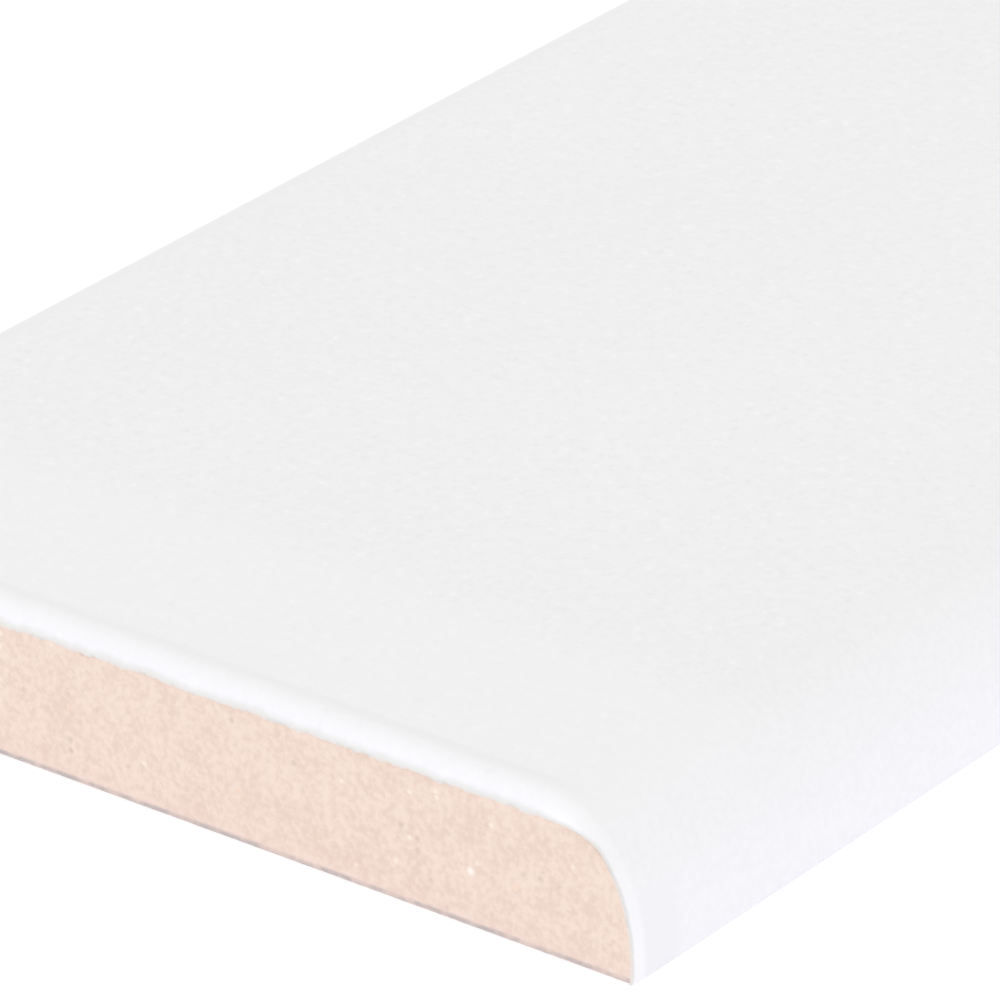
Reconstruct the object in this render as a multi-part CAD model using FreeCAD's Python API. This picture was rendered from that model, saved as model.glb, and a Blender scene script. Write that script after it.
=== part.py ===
import FreeCAD, Part
import math
import os

# Bullnose trim tile, in millimetres.
# X runs across the tile, from the plain long edge to the bullnose. Y runs along it.
# Z is up: the tile lies on its flat back with the glazed face on top.
# The origin is the middle of the back.

# The three sizes that the tile is sold by
tile_length = 152.4
tile_width = 50.8
tile_thickness = 7.5

# The bullnose: how far in from its outermost line the face starts to fall,
# and the height of the upright strip that it runs down into
nose_run = 5.2
nose_land = 0.9

# Roundings: the glazed arris round the face, the plan corner that is left of the flat face
# inside that arris, the thin arris round each end of the bullnose, and the arris round the back
face_arris = 1.2
face_corner = 0.8
nose_arris = 0.5
back_arris = 0.2

# The back's arris is a thread at most as thick as this share of the nose's end arris,
# because the two run into each other at the foot of the bullnose
back_share = 0.9

# What counts as the same place when an edge is looked up
NEAR = 1e-4

plain_side = -tile_width / 2
nose_side = tile_width / 2
nose_start = nose_side - nose_run


def same(values, place):
    """True if all the values are at that place."""
    return all(abs(value - place) < NEAR for value in values)


def edge_points(edge):
    """The X, Y and Z values of an edge's ends and middle."""
    middle = edge.valueAt((edge.FirstParameter + edge.LastParameter) / 2)
    points = [vertex.Point for vertex in edge.Vertexes] + [middle]
    return [p.x for p in points], [p.y for p in points], [p.z for p in points]


def only_solid(shape):
    """The one solid in a shape."""
    return shape if shape.ShapeType == "Solid" else shape.Solids[0]


def pressed_blank():
    """A flat block with two rounded plan corners and a rounded arris on its three plain sides."""
    corner = FreeCAD.Vector(plain_side, -tile_length / 2, 0)
    block = Part.makeBox(tile_width, tile_length, tile_thickness, corner)

    upright = [
        edge
        for edge in block.Edges
        if same(edge_points(edge)[0], plain_side) and edge.BoundBox.ZLength > NEAR
    ]
    block = block.makeFillet(face_corner + face_arris, upright)

    rim = [
        edge
        for edge in block.Edges
        if same(edge_points(edge)[2], tile_thickness) and not same(edge_points(edge)[0], nose_side)
    ]
    return only_solid(block.makeFillet(face_arris, rim))


def nose_curve(y):
    """The quarter ellipse of the bullnose, from the upright strip up to the face."""
    centre = FreeCAD.Vector(nose_start, y, nose_land)
    top = FreeCAD.Vector(nose_start, y, tile_thickness)
    front = FreeCAD.Vector(nose_side, y, nose_land)
    taller = tile_thickness - nose_land >= nose_run
    long_end, short_end = (top, front) if taller else (front, top)
    ellipse = Part.Ellipse(long_end, short_end, centre)
    return Part.ArcOfEllipse(ellipse, 0, math.pi / 2).toShape()


def nose_prism():
    """The tile's cross-section, run along its whole length."""
    y = -tile_length / 2
    back_plain = FreeCAD.Vector(plain_side, y, 0)
    back_nose = FreeCAD.Vector(nose_side, y, 0)
    land_top = FreeCAD.Vector(nose_side, y, nose_land)
    face_nose = FreeCAD.Vector(nose_start, y, tile_thickness)
    face_plain = FreeCAD.Vector(plain_side, y, tile_thickness)
    outline = [
        Part.makeLine(back_plain, back_nose),
        Part.makeLine(back_nose, land_top),
        nose_curve(y),
        Part.makeLine(face_nose, face_plain),
        Part.makeLine(face_plain, back_plain),
    ]
    section = Part.Face(Part.Wire(outline))
    return section.extrude(FreeCAD.Vector(0, tile_length, 0))


def rounded_nose_prism():
    """The prism with a thin arris round each end of its bullnose."""
    prism = nose_prism()
    end_edges = [
        edge
        for edge in prism.Edges
        if same(edge_points(edge)[1], edge.Vertexes[0].Y)
        and min(edge_points(edge)[0]) > nose_start - NEAR
        and edge.BoundBox.ZLength > NEAR
    ]
    return only_solid(prism.makeFillet(nose_arris, end_edges))


def round_back(tile):
    """Round the edge of the back, all the way round."""
    radius = min(back_arris, back_share * nose_arris)
    back_edges = [edge for edge in tile.Edges if same(edge_points(edge)[2], 0)]
    return only_solid(tile.makeFillet(radius, back_edges))


def bullnose_tile():
    """The tile as it comes from the kiln, one solid."""
    tile = pressed_blank().common(rounded_nose_prism()).removeSplitter()
    return round_back(only_solid(tile))


os.makedirs("parts", exist_ok=True)
shape = bullnose_tile()
shape.exportStep("parts/bullnose_tile.step")
print("bullnose_tile valid", shape.isValid(), "solids", len(shape.Solids), "volume", round(shape.Volume, 1))
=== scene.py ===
import math

import bmesh
import bpy
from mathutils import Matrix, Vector
from mathutils.kdtree import KDTree


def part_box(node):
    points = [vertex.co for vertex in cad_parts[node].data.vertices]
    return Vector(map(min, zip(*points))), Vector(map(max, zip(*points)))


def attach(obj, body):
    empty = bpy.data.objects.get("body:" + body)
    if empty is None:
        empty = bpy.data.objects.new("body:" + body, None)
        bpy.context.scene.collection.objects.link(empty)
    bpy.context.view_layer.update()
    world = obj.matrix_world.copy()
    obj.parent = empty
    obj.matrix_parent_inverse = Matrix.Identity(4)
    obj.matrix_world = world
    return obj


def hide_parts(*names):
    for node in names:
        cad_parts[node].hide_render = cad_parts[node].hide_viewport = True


# A bullnose trim tile: white satin glaze over a pressed, fired clay body.
# Lengths are in millimetres. A finished piece is shrunk to metres, the frame's own unit.
# X runs from the plain long edge to the bullnose, Y along the tile, and Z up from its back.

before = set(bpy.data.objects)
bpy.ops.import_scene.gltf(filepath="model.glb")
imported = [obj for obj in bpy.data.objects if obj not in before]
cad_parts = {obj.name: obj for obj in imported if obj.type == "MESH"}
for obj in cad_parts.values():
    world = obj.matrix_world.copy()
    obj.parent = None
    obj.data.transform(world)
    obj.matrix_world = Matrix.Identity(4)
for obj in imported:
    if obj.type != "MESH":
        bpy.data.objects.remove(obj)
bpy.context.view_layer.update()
NODE = "bullnose_tile"
MM = 0.001
tile_low, tile_high = [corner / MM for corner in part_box(NODE)]

# The pressed form
nose_run = 5.2
nose_land = 0.9
face_arris = 1.2
corner_radius = 2.0
back_arris = 0.18
nose_start = tile_high.x - nose_run

# How far the bullnose is drawn in at its two ends, and the height over which the glaze's
# border turns from the flat ends into the bullnose
nose_end_depth = 0.07
border_turn = 1.2

# The glaze is also drawn in along the bullnose's foot, by this depth, from this height down,
# and it stops this gap short of the floor
foot_depth = 0.09
foot_round = 0.28
foot_gap = 0.03

# The glaze, and how far the clay lies in from the glazed surface: at the lip that the glaze
# ends in on the bare sides, under the face, and under the bullnose
glaze_wall = 0.1
lip = 0.03
face_skin = 0.09
nose_skin = 0.165
clay_low = tile_low + Vector((lip, lip, 0))
clay_high = tile_high - Vector((nose_skin, lip, face_skin))

# The waves of the glaze's border, each with its length and how far it wanders. It stays in
# place where the clouds are at this level, and the waves die out over the bullnose's first
# stretch.
border_waves = ((0.3, 0.27), (1.3, 0.18))
border_level = 0.475
border_fade = 1.0

# The border's edges lie within the slack of its height, and once the first wave has moved
# them, its corners still lie within the room
border_slack = 0.01
border_room = 0.15

# How deep the clay's lower edge has crumbled, and in what waves. It stays in place where the
# clouds are at this level, and only this share of its arris crumbles, between the arris's ends.
edge_crumble = 0.1
edge_wave = 0.35
edge_level = 1.0
crumbling_share = 0.9

# The stretches that both of these edges are divided into
ragged_step = 0.13

# One larger pale fleck in the bare near end
pale_fleck = Vector((17.12, -76.17, 2.65))
fleck_radius = 0.27

# How finely the surfaces are divided
column_step = 0.5
row_step = 2.0
arris_steps = 8
nose_steps = 26
back_steps = 3
NEAR = 1e-3
SHARP = math.radians(40)

# How little an upright face may lean, how much of a face's normal lies on the axis that it
# looks along, and the axes
LEAN = 0.02
MOSTLY = 0.5
X, Y, Z = range(3)

# The share of a grain's or fleck's radius that is of one tone before it fades, and the share of
# the grains that show fully and not more faintly
spot_core = 0.2
full_grains = 0.9

# How far in from its border the glaze remembers the distance, for its shading
border_reach = 4.0


def middle(item):
    """The middle of a corner, edge or face."""
    if isinstance(item, bmesh.types.BMVert):
        return item.co
    return sum((v.co for v in item.verts), Vector()) / len(item.verts)


def near(value, place, room=NEAR):
    """True if a value is at that place."""
    return abs(value - place) < room


def looks(face, axis, way=1):
    """True if a face looks mostly one way along an axis."""
    return face.normal[axis] * way > MOSTLY


def steps(start, end, step):
    """Evenly spaced places between two others, without the two."""
    count = max(1, round((end - start) / step))
    return [start + (end - start) * i / count for i in range(1, count)]


def pick(kind, wanted):
    """Select the corners, edges or faces of the mesh in edit mode that pass a test, and no others."""
    bpy.ops.mesh.select_mode(type=kind)
    bpy.ops.mesh.select_all(action="DESELECT")
    mesh = bpy.context.edit_object.data
    form = bmesh.from_edit_mesh(mesh)
    items = {"VERT": form.verts, "EDGE": form.edges, "FACE": form.faces}[kind]
    for item in items:
        if wanted(item):
            item.select_set(True)
    form.select_flush_mode()
    bmesh.update_edit_mesh(mesh)


def cut(axis, places, wanted=lambda face: True):
    """Cut the faces that pass a test across an axis at each place."""
    normal = Vector([i == axis for i in range(3)])
    for place in places:
        pick("FACE", wanted)
        bpy.ops.mesh.bisect(plane_co=normal * place, plane_no=normal, threshold=NEAR / 10)


def press(low, high):
    """Start the tile's form between two corners, as a block, and round its plan and its rim."""
    bpy.ops.object.select_all(action="DESELECT")
    bpy.ops.mesh.primitive_cube_add(size=1, location=(low + high) / 2, scale=high - low)
    piece = bpy.context.object
    bpy.ops.object.transform_apply(location=True, rotation=True, scale=True)
    bpy.ops.object.mode_set(mode="EDIT")
    half = (low.z + high.z) / 2
    pick("EDGE", lambda e: near(middle(e).x, low.x) and near(middle(e).z, half))
    bpy.ops.mesh.bevel(offset=corner_radius, segments=arris_steps, affect="EDGES")
    pick("EDGE", lambda e: near(middle(e).z, high.z) and middle(e).x < high.x - NEAR)
    bpy.ops.mesh.bevel(offset=face_arris, segments=arris_steps, affect="EDGES")
    return piece


def nose_sections(high):
    """Where the bullnose is cut across, and how high it stands there: a quarter ellipse."""
    run = high.x - nose_start
    rise = high.z - nose_land
    turns = [math.pi / 2 * i / nose_steps for i in range(nose_steps)]
    return [(nose_start + run * math.cos(t), nose_land + rise * math.sin(t)) for t in turns]


def smooth_lower(first, second, room):
    """The lower of two heights, with the corner where they cross rounded off."""
    closeness = max(room - abs(first - second), 0) / room
    return min(first, second) - room * closeness ** 2 / 4


def turn_nose(high):
    """Bring the bullnose down from the flat face, one section after another.

    The arris of the ends grows shallower on the way, so that it fades out along the bullnose.
    """
    border = high.z - face_arris
    sections = nose_sections(high)
    cut(X, [x for x, _ in sections[1:]] + [nose_start])
    for x, top in sections:
        edge = smooth_lower(border, top - nose_end_depth, border_turn)
        pick("VERT", lambda v: near(v.co.x, x) and v.co.z > border - NEAR)
        depth_share = (top - edge) / face_arris
        bpy.ops.transform.resize(value=(1, 1, depth_share), center_override=(0, 0, high.z))
        bpy.ops.transform.translate(value=(0, 0, top - high.z))


def rounding(back, reach, depth):
    """How far in an eased edge lies at a distance back from it: a shallow curve."""
    return depth * max(0, 1 - back / reach) ** 2


def draw_in_nose_ends(low, high):
    """Draw the bullnose in by a little at its two ends, so that a thin arris runs round them."""
    form = bmesh.from_edit_mesh(bpy.context.edit_object.data)
    places = sorted({round(v.co.y, 4) for v in form.verts if v.co.x > nose_start})
    rows = [place for place in places if min(high.y - place, place - low.y) < face_arris]
    cut(Y, rows, lambda f: near(middle(f).x, high.x))
    for row in rows:
        back = max(0, min(high.y - row, row - low.y))
        share = 1 - rounding(back, face_arris, nose_end_depth) / (high.x - nose_start)
        pick("VERT", lambda v: near(v.co.y, row) and v.co.x > nose_start + NEAR)
        bpy.ops.transform.resize(value=(share, 1, 1), center_override=(nose_start, 0, 0))


def draw_in_foot(low, high):
    """Round the glaze off along the foot of the bullnose, just clear of the floor."""
    heights = steps(low.z, nose_land - nose_end_depth, ragged_step)
    cut(Z, heights, lambda f: near(middle(f).x, high.x, nose_end_depth) and looks(f, X))
    for height in [low.z, *heights]:
        depth = rounding(height - low.z, foot_round, foot_depth)
        lift = foot_gap if height == low.z else 0
        pick("VERT", lambda v: near(v.co.z, height) and near(v.co.x, high.x, nose_end_depth + NEAR))
        bpy.ops.transform.translate(value=(-depth, 0, lift))


def divide(low, high):
    """Cut the form into fine columns along its width and rows along its length."""
    cut(X, steps(low.x + corner_radius, nose_start, column_step))
    cut(Y, steps(low.y + corner_radius, high.y - corner_radius, row_step))


def apply_modifier(piece, kind, **settings):
    """Add a modifier, set it and apply it, outside edit mode."""
    bpy.ops.object.modifier_add(type=kind)
    modifier = piece.modifiers[-1]
    for setting, value in settings.items():
        setattr(modifier, setting, value)
    bpy.ops.object.modifier_apply(modifier=modifier.name)


def finish_piece(piece, name, material):
    """Shrink a piece to metres, shade it, and place it in the frame."""
    bpy.ops.object.mode_set(mode="EDIT")
    bpy.ops.mesh.select_all(action="SELECT")
    bpy.ops.transform.resize(value=(MM, MM, MM), center_override=(0, 0, 0))
    bpy.ops.object.mode_set(mode="OBJECT")
    bpy.ops.object.shade_smooth_by_angle(angle=SHARP)
    apply_modifier(piece, "WEIGHTED_NORMAL", keep_sharp=True)
    piece.name = piece.data.name = name
    piece.data.materials.clear()
    piece.data.materials.append(material)
    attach(piece, "root")
    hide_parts(NODE)


def shift_by_clouds(piece, name, share, size, **settings):
    """Move corners by a soft noise, each by its own share, from 0 to 1."""
    bpy.ops.object.mode_set(mode="OBJECT")
    group = piece.vertex_groups.new(name=name)
    for corner in piece.data.vertices:
        group.add([corner.index], share(corner.co), "REPLACE")
    clouds = bpy.data.textures.new(name, "CLOUDS")
    clouds.noise_scale = size
    apply_modifier(piece, "DISPLACE", texture=clouds, texture_coords="LOCAL",
                   vertex_group=name, **settings)
    bpy.ops.object.mode_set(mode="EDIT")


def split_edges(wanted):
    """Divide the edges that pass a test into short stretches, and leave their faces whole.

    The long ones between the rows come first, and then those between the columns.
    """
    for step, shortest in ((row_step, row_step / 2), (column_step, ragged_step * 2)):
        pick("EDGE", lambda e: e.calc_length() > shortest and wanted(e))
        bpy.ops.mesh.subdivide(number_cuts=int(step / ragged_step))


def bare(face, border):
    """True for a face that the glaze leaves bare: the back and the three plain sides."""
    plain_side = abs(face.normal.z) < LEAN and middle(face).z < border and not looks(face, X)
    return plain_side or looks(face, Z, -1)


def measure_from_border():
    """Keep each corner's distance from the glaze's border, up to a limit, for its shading.

    The foot of the bullnose isn't counted as border, because the glaze is as thick there as above.
    """
    mesh = bpy.context.edit_object.data
    form = bmesh.from_edit_mesh(mesh)
    distance = form.verts.layers.float.new("from_border")
    border = [v for v in form.verts if v.is_boundary and v.co.z > tile_low.z + foot_gap + NEAR]
    tree = KDTree(len(border))
    for corner in border:
        tree.insert(corner.co, corner.index)
    tree.balance()
    for corner in form.verts:
        corner[distance] = min(tree.find(corner.co)[2], border_reach)
    bmesh.update_edit_mesh(mesh)


def glaze_coat(material):
    """The glaze: a thin wall over the face and the bullnose, with an uneven border.

    The border is even again where it turns down into the bullnose.
    """
    piece = press(tile_low, tile_high)
    turn_nose(tile_high)
    divide(tile_low, tile_high)
    draw_in_nose_ends(tile_low, tile_high)
    border = tile_high.z - face_arris
    pick("FACE", lambda f: bare(f, border))
    bpy.ops.mesh.delete(type="FACE")
    draw_in_foot(tile_low, tile_high)
    split_edges(lambda e: e.is_boundary and near(middle(e).z, border, border_slack))

    def on_border(place):
        fade = (nose_start + border_fade - place.x) / border_fade
        return near(place.z, border, border_room) * min(1, max(0, fade))

    for length, wander in border_waves:
        shift_by_clouds(piece, f"border_{length}", on_border, length,
                        direction="Z", strength=wander, mid_level=border_level)
    measure_from_border()
    bpy.ops.object.mode_set(mode="OBJECT")
    apply_modifier(piece, "SOLIDIFY", thickness=glaze_wall, offset=-1)
    finish_piece(piece, "glaze_coat", material)


def tile_body(material):
    """The clay body, whose plain sides and back are bare, with a crumbly edge round the back."""
    piece = press(clay_low, clay_high)
    turn_nose(clay_high)
    divide(clay_low, clay_high)

    def back_edge(edge):
        on_rim = near(middle(edge).z, clay_low.z) and middle(edge).x < clay_high.x - NEAR
        return on_rim and len({looks(face, Z, -1) for face in edge.link_faces}) == 2

    split_edges(back_edge)
    pick("EDGE", back_edge)
    bpy.ops.mesh.bevel(offset=back_arris, segments=back_steps, affect="EDGES")
    reach = back_arris * crumbling_share
    inner_low = clay_low + Vector((reach, reach, reach))
    inner_high = clay_high - Vector((NEAR, reach, 0))

    def on_edge(place):
        rim = place.x < inner_low.x or place.y < inner_low.y or place.y > inner_high.y
        return float(rim and place.x < inner_high.x and place.z < inner_low.z)

    shift_by_clouds(piece, "crumble", on_edge, edge_wave,
                    direction="NORMAL", strength=edge_crumble, mid_level=edge_level)
    finish_piece(piece, "tile_body", material)


class Field:
    """A value in a node tree, on which Python's operators add Math nodes."""

    def __init__(self, recipe, socket):
        self.recipe = recipe
        self.socket = socket

    def math(self, operation, first, second=0.0):
        return self.recipe.node("ShaderNodeMath", {"operation": operation}, {0: first, 1: second})

    def __add__(self, other):
        return self.math("ADD", self, other)

    def __radd__(self, other):
        return self.math("ADD", other, self)

    def __sub__(self, other):
        return self.math("SUBTRACT", self, other)

    def __rsub__(self, other):
        return self.math("SUBTRACT", other, self)

    def __mul__(self, other):
        return self.math("MULTIPLY", self, other)

    def __rmul__(self, other):
        return self.math("MULTIPLY", other, self)

    def __pow__(self, other):
        return self.math("POWER", self, other)

    def __rpow__(self, other):
        return self.math("POWER", other, self)

    def __abs__(self):
        return self.math("ABSOLUTE", self)

    def greater(self, other):
        """This value or another, whichever is more."""
        return self.math("MAXIMUM", self, other)

    def lesser(self, other):
        """This value or another, whichever is less."""
        return self.math("MINIMUM", self, other)

    def beside(self, output):
        """Another output of the node that this value comes from."""
        return Field(self.recipe, self.socket.node.outputs[output])


class Recipe:
    """A material or world, and the nodes that make it."""

    def __init__(self, tree):
        self.tree = tree
        self.tree.nodes.clear()

    def node(self, kind, settings=None, inputs=None, output=0):
        """Add a node, set it, then fill its sockets with values or links."""
        node = self.tree.nodes.new(kind)
        for name, value in (settings or {}).items():
            setattr(node, name, value)
        sockets = {socket.identifier: socket for socket in node.inputs}
        for key, value in (inputs or {}).items():
            socket = sockets[key] if key in sockets else node.inputs[key]
            if isinstance(value, Field):
                self.tree.links.new(value.socket, socket)
            else:
                socket.default_value = value
        outputs = {socket.identifier: socket for socket in node.outputs}
        if not outputs:
            return None
        return Field(self, outputs[output] if output in outputs else node.outputs[output])

    def place(self):
        """The point on the piece, in metres."""
        return self.node("ShaderNodeTexCoord", output="Object")

    def axes(self, place):
        """A point's X, Y and Z, in millimetres."""
        x = self.node("ShaderNodeSeparateXYZ", {}, {"Vector": place}, "X")
        return [value * (1 / MM) for value in (x, x.beside("Y"), x.beside("Z"))]

    def apart(self, place, spot):
        """How far a point lies from a spot, in millimetres."""
        inputs = {0: place, 1: spot * MM}
        return self.node("ShaderNodeVectorMath", {"operation": "DISTANCE"}, inputs, "Value") * (1 / MM)

    def kept(self, name):
        """A number that the piece keeps at each of its corners."""
        return self.node("ShaderNodeAttribute", {"attribute_name": name}, output="Fac")

    def noise(self, place, size, detail=2.0, roughness=0.5):
        """Soft noise whose patches are about this many millimetres across."""
        inputs = {"Vector": place, "Scale": 1 / (size * MM), "Detail": detail, "Roughness": roughness}
        return self.node("ShaderNodeTexNoise", {}, inputs, output="Fac")

    def grains(self, place, size, radius, share):
        """1 inside round grains of this radius, scattered over a grid of this size, and 0 elsewhere.

        Each cell of the grid gets its grain by chance, in this share of the cells.
        """
        inputs = {"Vector": place, "Scale": 1 / (size * MM)}
        distance = self.node("ShaderNodeTexVoronoi", {}, inputs, "Distance")
        chance = self.node("ShaderNodeSeparateColor", {}, {"Color": distance.beside("Color")})
        present = self.between(chance, 1 - share, 1 - share * full_grains)
        return self.spot(distance * size, radius) * present

    def spot(self, distance, radius):
        """1 near the middle of a round spot, fading to 0 at its radius."""
        return self.between(distance, radius, radius * spot_core)

    def between(self, value, low, high, start=0.0, end=1.0):
        """Carry a value smoothly from one range into another."""
        inputs = {"Value": value, "From Min": low, "From Max": high, "To Min": start, "To Max": end}
        return self.node("ShaderNodeMapRange", {"interpolation_type": "SMOOTHSTEP"}, inputs)

    def band(self, value, sides):
        """1 between two places and 0 outside them, with a soft side at each."""
        outer, inner = sides
        return self.between(value, *outer) * self.between(value, *inner)

    def blend(self, share, first, second):
        """Go from one colour to another."""
        inputs = {"Factor_Float": share, "A_Color": first, "B_Color": second}
        return self.node("ShaderNodeMix", {"data_type": "RGBA"}, inputs, output="Result_Color")

    def bump(self, height, distance):
        """The normal of a relief this many millimetres high."""
        inputs = {"Height": height, "Distance": distance * MM, "Strength": 1.0}
        return self.node("ShaderNodeBump", {}, inputs)

    def surface(self, shader, owner="Material"):
        """Give the material or world its shader."""
        self.node("ShaderNodeOutput" + owner, {}, {"Surface": shader})


def new_recipe(name):
    """A fresh material and its recipe."""
    material = bpy.data.materials.new(name)
    material.use_nodes = True
    return material, Recipe(material.node_tree)


def tone(red, green, blue):
    """A colour as a shader takes it."""
    return (red, green, blue, 1.0)


def grey(level):
    """A colour without hue, as a shader takes it."""
    return tone(level, level, level)


# The glaze's tones: its stipple and freckles, a painted highlight behind its border and painted shade
# behind that, and its thin border, greyed where the clay shows through, with blotches and painted shade
# under its lip
coat_dark = grey(0.829)
coat_light = grey(0.854)
freckle_light = grey(0.873)
freckle_dark = grey(0.812)
# The white of a painted highlight, and the grey of a painted shade
painted_highlight_white = grey(0.893)
low_nose_shade_grey = grey(0.815)
# The border's greys: thin glaze over the clay, partly painted shade under the lip
thin_coat_and_lip_shade = tone(0.74, 0.74, 0.703)
clay_through_and_lip_shade = tone(0.732, 0.686, 0.626)
border_blotch = tone(0.62, 0.62, 0.58)

# The sizes of the patches in the glaze, and how strongly they and its finishes show
stipple_size = 0.35
freckle_size = 0.5
clouding_size = 14.0
blotch_size = 0.5
ripple_size = 0.9
stipple_relief = 0.3
stipple_share = 0.75
freckles_lost_on_nose = 0.7
near_end_strength = 0.4
side_highlight_strength = 0.25
nose_highlight_strength = 0.55
shoulder_highlight_extra = 0.2
blotch_strength = 0.7
border_wander = 0.12
glaze_ior = 1.5
glaze_relief = 0.004

# Where a finish of the glaze begins and where it is full. Levels of noise:
stipple_levels = (0.33, 0.67)
freckle_light_levels = (0.6, 0.75)
freckle_dark_levels = (0.4, 0.25)
blotch_levels = (0.5, 0.62)
# Millimetres along or above the tile:
nose_places = (nose_start, nose_start + 2)
near_end_places = (tile_low.y + 14, tile_low.y + 9)
near_end_heights = (5.0, 7.0)
shoulder_heights = (6.2, 7.1)
low_nose_heights = (4.5, 1.5)
# Millimetres in from the border, at the finish's outer side and then at its inner side:
side_highlight_band = ((0.5, 0.8), (1.15, 0.9))
nose_highlight_reach = (1.0, 0.65)
painted_shade_band = ((1.2, 1.5), (1.95, 1.65))
low_nose_shade_band = ((0.6, 1.1), (3.8, 2.6))
thin_and_shade_reach = (0.505, 0.09)
clay_through_and_shade_reach = (0.16, 0.0)
blotch_reach = (0.2, 0.05)

# The glaze's roughness, from the stipple's low to its high
stipple_span = (0.3, 0.7)
glaze_roughness = (0.34, 0.42)


def speckled_white(recipe, place, stipple, on_nose):
    """The glaze's own white, with a faint stipple, and freckles that are weaker on the bullnose."""
    clouding = recipe.noise(place, clouding_size)
    shade = recipe.between(stipple * stipple_share + clouding * (1 - stipple_share), *stipple_levels)
    coat = recipe.blend(shade, coat_dark, coat_light)
    freckles = recipe.noise(place, freckle_size, detail=1.0)
    seen = 1 - on_nose * freckles_lost_on_nose
    coat = recipe.blend(recipe.between(freckles, *freckle_light_levels) * seen, coat, freckle_light)
    return recipe.blend(recipe.between(freckles, *freckle_dark_levels) * seen, coat, freckle_dark)


def painted_arris_light(recipe, coat, from_border, on_nose, z):
    """A painted highlight just behind the border, and a band of painted shade a little further in.

    On the bullnose the painted highlight runs right up to the border, and is strongest over the
    shoulder.
    Low on the bullnose the painted shade reaches further in.
    """
    shoulder = recipe.between(z, *shoulder_heights) * shoulder_highlight_extra
    on_sides = recipe.band(from_border, side_highlight_band) * side_highlight_strength
    on_bullnose = recipe.between(from_border - shoulder, *nose_highlight_reach)
    on_bullnose = on_bullnose * (shoulder + nose_highlight_strength)
    highlight = on_sides * (1 - on_nose) + on_bullnose * on_nose
    # Painted highlight along the arris, just behind the border
    coat = recipe.blend(highlight, coat, painted_highlight_white)
    # Painted shade in a band a little further in from the border, on the plain sides
    coat = recipe.blend(recipe.band(from_border, painted_shade_band) * (1 - on_nose), coat, coat_dark)
    # Painted shade low on the bullnose, further in from the border
    low_nose_shade = recipe.band(from_border, low_nose_shade_band) * recipe.between(z, *low_nose_heights)
    return recipe.blend(low_nose_shade, coat, low_nose_shade_grey)


def thin_and_shaded_border(recipe, coat, place, from_border, on_nose):
    """Dull and blotched along the border, half as far in on the bullnose as on the plain sides: thin
    glaze over the clay, with painted shade under its lip.
    """
    ragged = recipe.noise(place, blotch_size)
    reach = (from_border + (ragged - 0.5) * border_wander) * (1 + on_nose)
    # Greyer toward the border: thin glaze, partly painted shade under the lip
    coat = recipe.blend(recipe.between(reach, *thin_and_shade_reach), coat, thin_coat_and_lip_shade)
    coat = recipe.blend(recipe.between(reach, *clay_through_and_shade_reach), coat, clay_through_and_lip_shade)
    blotch = recipe.between(reach, *blotch_reach) * recipe.between(ragged, *blotch_levels)
    return recipe.blend(blotch * blotch_strength, coat, border_blotch)


def white_glaze():
    """Satin white glaze, a little whiter towards the near end, with a soft low relief."""
    material, recipe = new_recipe("white_glaze")
    place = recipe.place()
    x, y, z = recipe.axes(place)
    stipple = recipe.noise(place, stipple_size, detail=3.0)
    on_nose = recipe.between(x, *nose_places)
    coat = speckled_white(recipe, place, stipple, on_nose)
    near_end = recipe.between(y, *near_end_places) * recipe.between(z, *near_end_heights)
    coat = recipe.blend(near_end * near_end_strength, coat, freckle_light)

    from_border = recipe.kept("from_border")
    # Painted highlight behind the border, and painted shade behind that
    coat = painted_arris_light(recipe, coat, from_border, on_nose, z)
    # Thin glaze at the border, with painted shade under its lip
    coat = thin_and_shaded_border(recipe, coat, place, from_border, on_nose)

    relief = recipe.noise(place, ripple_size) + stipple * stipple_relief
    inputs = {
        "Base Color": coat,
        "Roughness": recipe.between(stipple, *stipple_span, *glaze_roughness),
        "IOR": glaze_ior,
        "Normal": recipe.bump(relief, glaze_relief),
    }
    recipe.surface(recipe.node("ShaderNodeBsdfPrincipled", {}, inputs))
    return material


# The clay's tones: its sand, its one larger fleck, and the dark line round the edge of its back, partly
# painted contact shade and partly dirt
sand_dark = tone(0.724, 0.581, 0.469)
sand_light = tone(0.802, 0.670, 0.557)
fleck_tone = tone(0.90, 0.82, 0.73)
pinker_clay = tone(0.83, 0.66, 0.60)
# The tone of the dark edge line: partly painted contact shade, partly dirt
edge_dirt_and_shade = tone(0.46, 0.42, 0.395)

# Its pale, grey and orange grains: the size of their grid, their radius, their share of the
# grid's cells, how strongly they show, and their tone
grain_kinds = (
    (0.7, 0.2, 0.12, 1.0, tone(0.845, 0.74, 0.635)),
    (0.8, 0.22, 0.2, 0.6, tone(0.60, 0.485, 0.40)),
    (1.3, 0.22, 0.15, 0.6, tone(0.84, 0.61, 0.46)),
)

# The sizes of its patches, how strongly they show, and its roughness
sand_size = 0.33
patch_size = 1.3
dark_line_patch_size = 0.7
sand_share = 0.7
pinker_strength = 0.28
sand_relief = 0.02
sand_span = (0.3, 0.7)
clay_roughness = (0.82, 0.95)

# Where its finishes begin and where they are full: levels of noise, and then millimetres from
# the edge of the back
sand_levels = (0.35, 0.65)
dark_line_levels = (0.36, 0.62)
pinker_reach = (0.9, 0.35)
dark_line_reach = (0.44, 0.22)
dark_line_core = (0.1, 0.25)

# How dark the edge line, partly painted contact shade, is where its noise is weakest, and at the very
# edge
faintest_dark_line = 0.42
at_edge = 0.5


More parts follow.
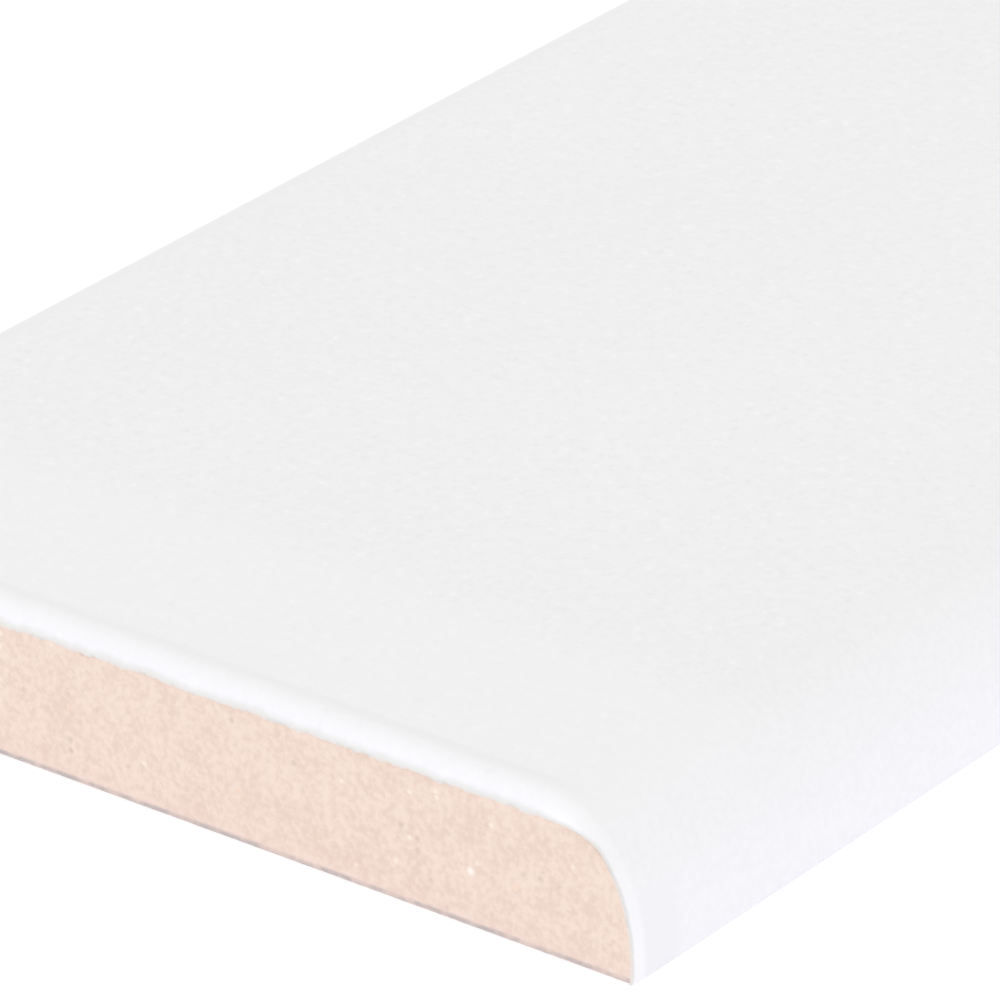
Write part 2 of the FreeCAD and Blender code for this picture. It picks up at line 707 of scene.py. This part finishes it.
def grained_clay(recipe, place, sand):
    """Fine cream pink sand in soft patches, with its grains and one larger pale fleck."""
    patches = recipe.noise(place, patch_size)
    shade = recipe.between(sand * sand_share + patches * (1 - sand_share), *sand_levels)
    clay = recipe.blend(shade, sand_dark, sand_light)
    for grid, radius, share, strength, grain in grain_kinds:
        clay = recipe.blend(recipe.grains(place, grid, radius, share) * strength, clay, grain)
    fleck = recipe.spot(recipe.apart(place, pale_fleck), fleck_radius)
    return recipe.blend(fleck, clay, fleck_tone)


def pinker_low_and_dark_edge(recipe, clay, place):
    """Pinker clay low on the bare sides, and a ragged dark line round the edge of the back, partly
    painted contact shade and partly dirt.

    Both follow how far a point lies in from the nearest side, rounded plan corners included,
    added to how high it lies above the back.
    """
    x, y, z = recipe.axes(place)
    round_x = (clay_low.x + corner_radius - x).greater(0.0)
    round_y = (abs(y) - clay_high.y + corner_radius).greater(0.0)
    from_corner = (round_x * round_x + round_y * round_y) ** 0.5
    from_edge = (corner_radius - from_corner).lesser(clay_high.x - x) + z
    pinker = recipe.between(from_edge, *pinker_reach) * pinker_strength
    clay = recipe.blend(pinker, clay, pinker_clay)
    # A ragged dark line round the edge of the back: partly painted contact shade, partly dirt
    ragged_line = recipe.between(recipe.noise(place, dark_line_patch_size, detail=3.0), *dark_line_levels, faintest_dark_line, 1.0)
    line = recipe.between(from_edge, *dark_line_reach) * recipe.between(from_edge, *dark_line_core, at_edge, 1.0)
    return recipe.blend(line * ragged_line, clay, edge_dirt_and_shade)


def fired_clay():
    """Bare fired clay, matt and slightly rough."""
    material, recipe = new_recipe("fired_clay")
    place = recipe.place()
    sand = recipe.noise(place, sand_size, detail=3.0, roughness=0.6)
    inputs = {
        "Base Color": pinker_low_and_dark_edge(recipe, grained_clay(recipe, place, sand), place),
        "Roughness": recipe.between(sand, *sand_span, *clay_roughness),
        "Normal": recipe.bump(sand, sand_relief),
    }
    recipe.surface(recipe.node("ShaderNodeBsdfPrincipled", {}, inputs))
    return material


# The studio: how strongly the sky, the floor and the lamp shine, where 1 lights a white to white
sky_strength = 1.0
sky_tint = (1.0, 0.998, 0.998)
floor_paleness = 0.8
floor_seen_paleness = 0.35
floor_glow = 0.75
table_light = 0.47
table_tint = (0.829, 0.783, 1.0)
lamp_strength = 0.115
lamp_tint = (0.833, 0.842, 1.0)
lamp_elevation = 10
lamp_spread = 40
floor_size = 12.0

# The camera's place in metres, its two angles in degrees, and its lens in millimetres
camera_place = (0.216734, -0.338638, 0.181954)
camera_azimuth = 37.046
camera_elevation = 26.224
camera_lens = 331.0
sensor_width = 36
nearest_seen = 0.01


def seen_directly(recipe):
    """1 where the camera, a mirror or a glass sees a thing, and 0 where it only lights others."""
    rays = ["Is Camera Ray", "Is Glossy Ray", "Is Transmission Ray"]
    camera, glossy, clear = [recipe.node("ShaderNodeLightPath", output=ray) for ray in rays]
    return recipe.between(camera + glossy + clear, 0.0, 1.0)


def studio_floor():
    """A pale floor that looks white and still takes the tile's shadow."""
    material, recipe = new_recipe("studio_floor")
    paint = recipe.node("ShaderNodeBsdfDiffuse", {}, {"Color": grey(floor_paleness)})
    gleam = recipe.node("ShaderNodeEmission", {}, {"Color": tone(*table_tint), "Strength": table_light})
    pale = recipe.node("ShaderNodeAddShader", {}, {0: paint, 1: gleam})
    dim = recipe.node("ShaderNodeBsdfDiffuse", {}, {"Color": grey(floor_seen_paleness)})
    glow = recipe.node("ShaderNodeEmission", {}, {"Strength": floor_glow})
    seen = recipe.node("ShaderNodeAddShader", {}, {0: dim, 1: glow})
    shown = recipe.node("ShaderNodeMixShader", {}, {0: seen_directly(recipe), 1: pale, 2: seen})
    recipe.surface(shown)
    bpy.ops.object.select_all(action="DESELECT")
    bpy.ops.mesh.primitive_plane_add(size=floor_size, location=(0, 0, 0))
    floor = bpy.context.object
    floor.name = "studio_floor"
    floor.data.materials.append(material)


def studio_sky():
    """An even white sky all round."""
    world = bpy.data.worlds.new("studio_sky")
    world.use_nodes = True
    bpy.context.scene.world = world
    recipe = Recipe(world.node_tree)
    strength = recipe.between(seen_directly(recipe), 0.0, 1.0, sky_strength, 1.0)
    inputs = {"Color": tone(*sky_tint), "Strength": strength}
    recipe.surface(recipe.node("ShaderNodeBackground", {}, inputs), "World")


def front_lamp():
    """One broad soft lamp, low in front of the near end and a little cooler than the sky."""
    bpy.ops.object.light_add(type="SUN", location=(0, 0, 1))
    lamp = bpy.context.object
    lamp.name = "front_lamp"
    lamp.rotation_euler = (math.radians(90 - lamp_elevation), 0, 0)
    lamp.data.energy = lamp_strength * math.pi
    lamp.data.color = lamp_tint
    lamp.data.angle = math.radians(lamp_spread)


def camera():
    """A long lens, down the tile from above its bullnose corner."""
    bpy.ops.object.camera_add(location=camera_place)
    view = bpy.context.object
    tilt = math.radians(90 - camera_elevation)
    view.rotation_euler = (tilt, 0, math.radians(camera_azimuth))
    view.data.sensor_width = sensor_width
    view.data.lens = camera_lens
    view.data.clip_start = nearest_seen
    bpy.context.scene.camera = view


bpy.context.scene.view_settings.view_transform = "Standard"
camera()
studio_sky()
studio_floor()
front_lamp()
tile_body(fired_clay())
glaze_coat(white_glaze())
